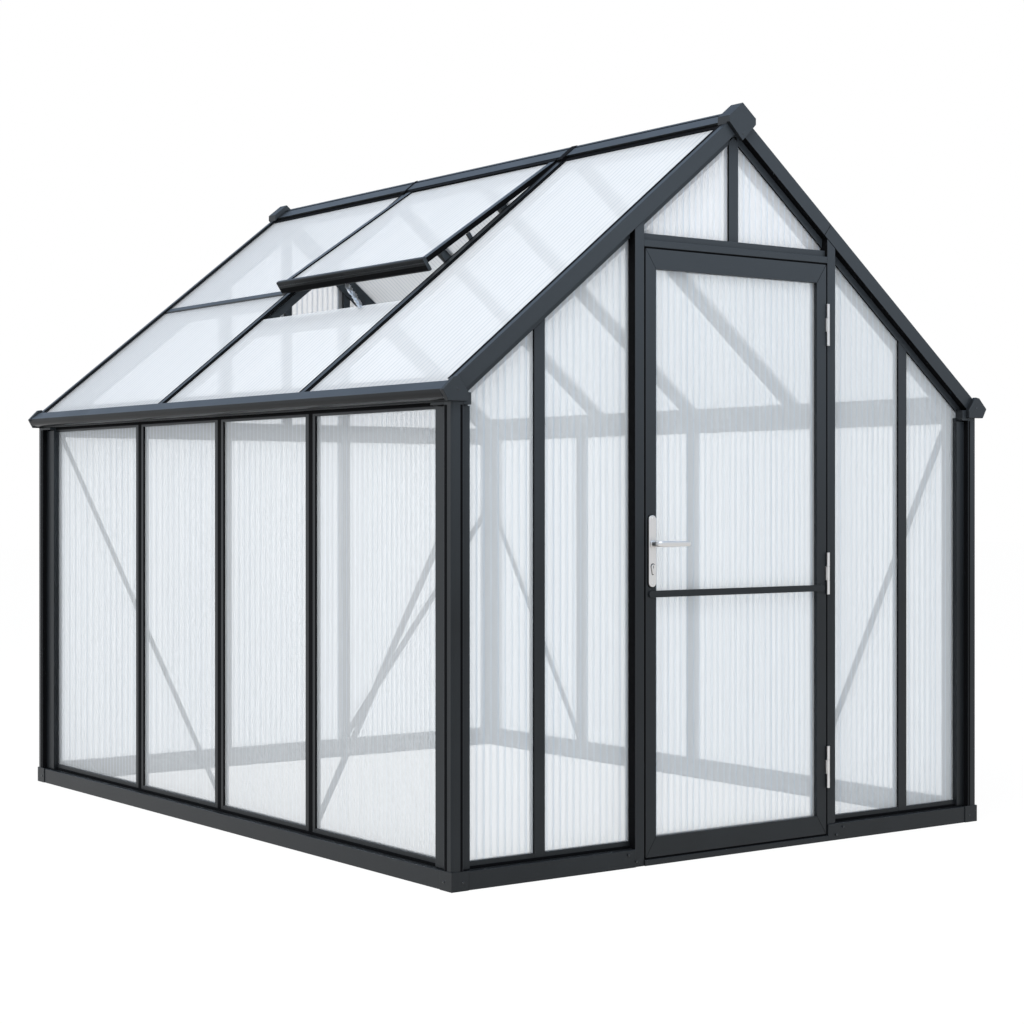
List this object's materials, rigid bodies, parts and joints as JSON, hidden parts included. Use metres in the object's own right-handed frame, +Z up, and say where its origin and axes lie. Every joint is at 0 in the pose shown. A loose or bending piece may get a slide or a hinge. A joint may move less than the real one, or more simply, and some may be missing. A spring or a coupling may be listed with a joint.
{
  "type": "greenhouse",
  "caption": "Walk-in gable greenhouse: dark aluminium frame, translucent twin-wall sheets, a hinged door with a lever handle, and an open roof vent.",
  "frame": {"origin": "on the ground at the middle of the footprint", "axes": "+Z up; +Y from the door gable to the back gable, along the ridge; +X to the right as seen facing the door"},
  "size_m": [2.522, 3.24, 2.6089],
  "materials": {
    "frame_metal": "satin charcoal powder coat",
    "twin_wall_sheet": "translucent fluted polycarbonate",
    "handle_metal": "satin"
  },
  "bodies": {
    "house": {"base_side_rails": "frame_metal", "base_end_rails": "frame_metal", "base_corner_brackets": "frame_metal", "door_sill": "frame_metal", "corner_posts": "frame_metal", "side_wall_rails": "frame_metal", "side_wall_bar_caps": "frame_metal", "side_wall_posts": "frame_metal", "front_wall_rails": "frame_metal", "front_wall_bar_caps": "frame_metal", "front_wall_posts": "frame_metal", "back_wall_rails": "frame_metal", "back_wall_bar_caps": "frame_metal", "back_wall_posts": "frame_metal", "door_jambs": "frame_metal", "door_head_rail": "frame_metal", "side_wall_sheets": "twin_wall_sheet", "front_wall_sheets": "twin_wall_sheet", "front_gable_sheets": "twin_wall_sheet", "back_wall_sheets": "twin_wall_sheet", "back_gable_sheets": "twin_wall_sheet", "eave_beams": "frame_metal", "gutters": "frame_metal", "gutter_end_caps": "frame_metal", "eave_brackets": "frame_metal", "gable_rafters": "frame_metal", "ridge_beam": "frame_metal", "ridge_end_caps": "frame_metal", "roof_bars": "frame_metal", "roof_bar_caps": "frame_metal", "roof_cross_bars": "frame_metal", "roof_sheets": "twin_wall_sheet", "vent_frame": "frame_metal", "vent_lower_bar": "frame_metal", "vent_sheet": "twin_wall_sheet", "vent_stay": "handle_metal", "wall_braces": "frame_metal", "hinge_jamb_knuckles": "handle_metal"},
    "door": {"door_stiles": "frame_metal", "door_rails": "frame_metal", "door_sheet": "twin_wall_sheet", "door_cross_bar": "frame_metal", "door_handle_plates": "handle_metal", "hinge_door_knuckles": "handle_metal"},
    "lever": {"door_lever": "handle_metal"}
  },
  "joints": [
    {"name": "door_hinge", "type": "hinge", "parent": "house", "child": "door", "pos_m": [0.426, -1.589, 0], "axis": [0, 0, 1], "range_deg": [0, 100]},
    {"name": "lever_hinge", "type": "hinge", "parent": "door", "child": "lever", "pos_m": [-0.398, 0, 1.081], "axis": [0, 1, 0], "range_deg": [0, 40], "stiffness_Nm_per_rad": 1, "springref_deg": -17.19}
  ]
}
